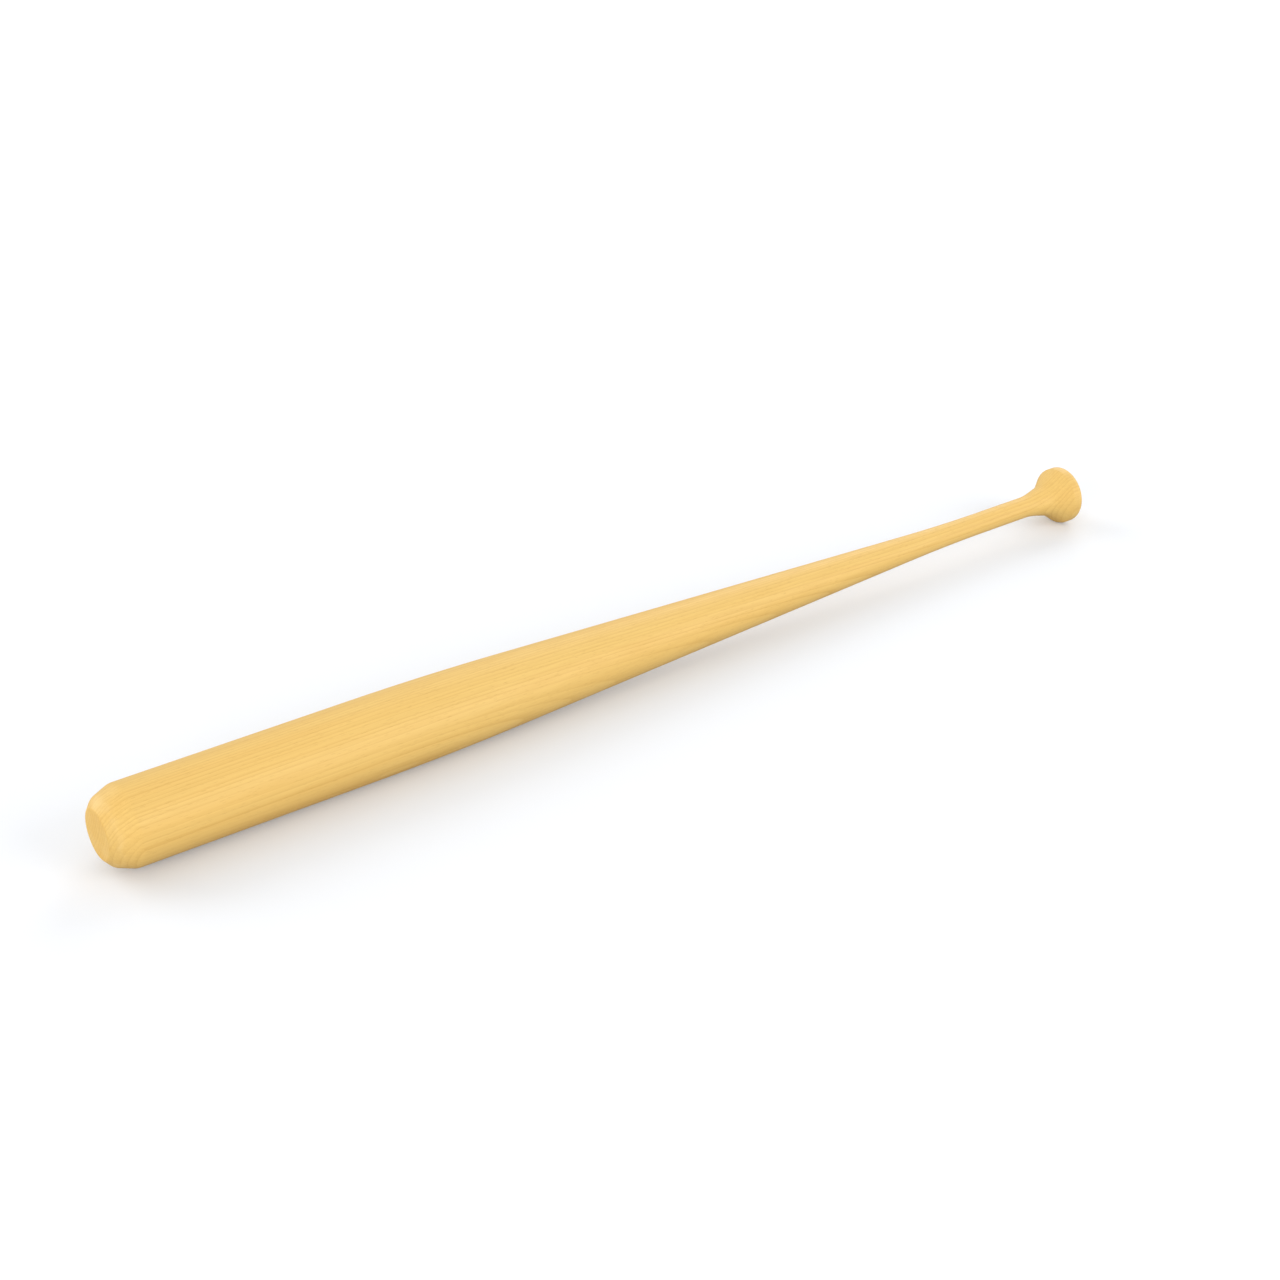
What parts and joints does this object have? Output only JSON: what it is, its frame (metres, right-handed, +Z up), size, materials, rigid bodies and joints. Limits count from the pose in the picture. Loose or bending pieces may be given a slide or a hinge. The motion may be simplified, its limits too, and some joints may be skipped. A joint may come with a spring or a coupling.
{
  "type": "wooden ball bat",
  "caption": "One-piece turned wooden ball bat with a straight barrel, a bevelled barrel end, a long taper, a thin straight grip and a flared disc knob.",
  "frame": {"origin": "centre of the knob's flat end face, on the bat's turning axis", "axes": "+X along the turning axis, from the knob up the handle to the barrel end; +Z up, with the bat lying on its side; +Y completes the right-handed frame"},
  "size_m": [0.8636, 0.058, 0.058],
  "materials": {
    "lacquered_wood": "pale honey hardwood with fine straight grain, under satin clear lacquer"
  },
  "bodies": {
    "root": {"turned_bat_body": "lacquered_wood"}
  },
  "joints": []
}
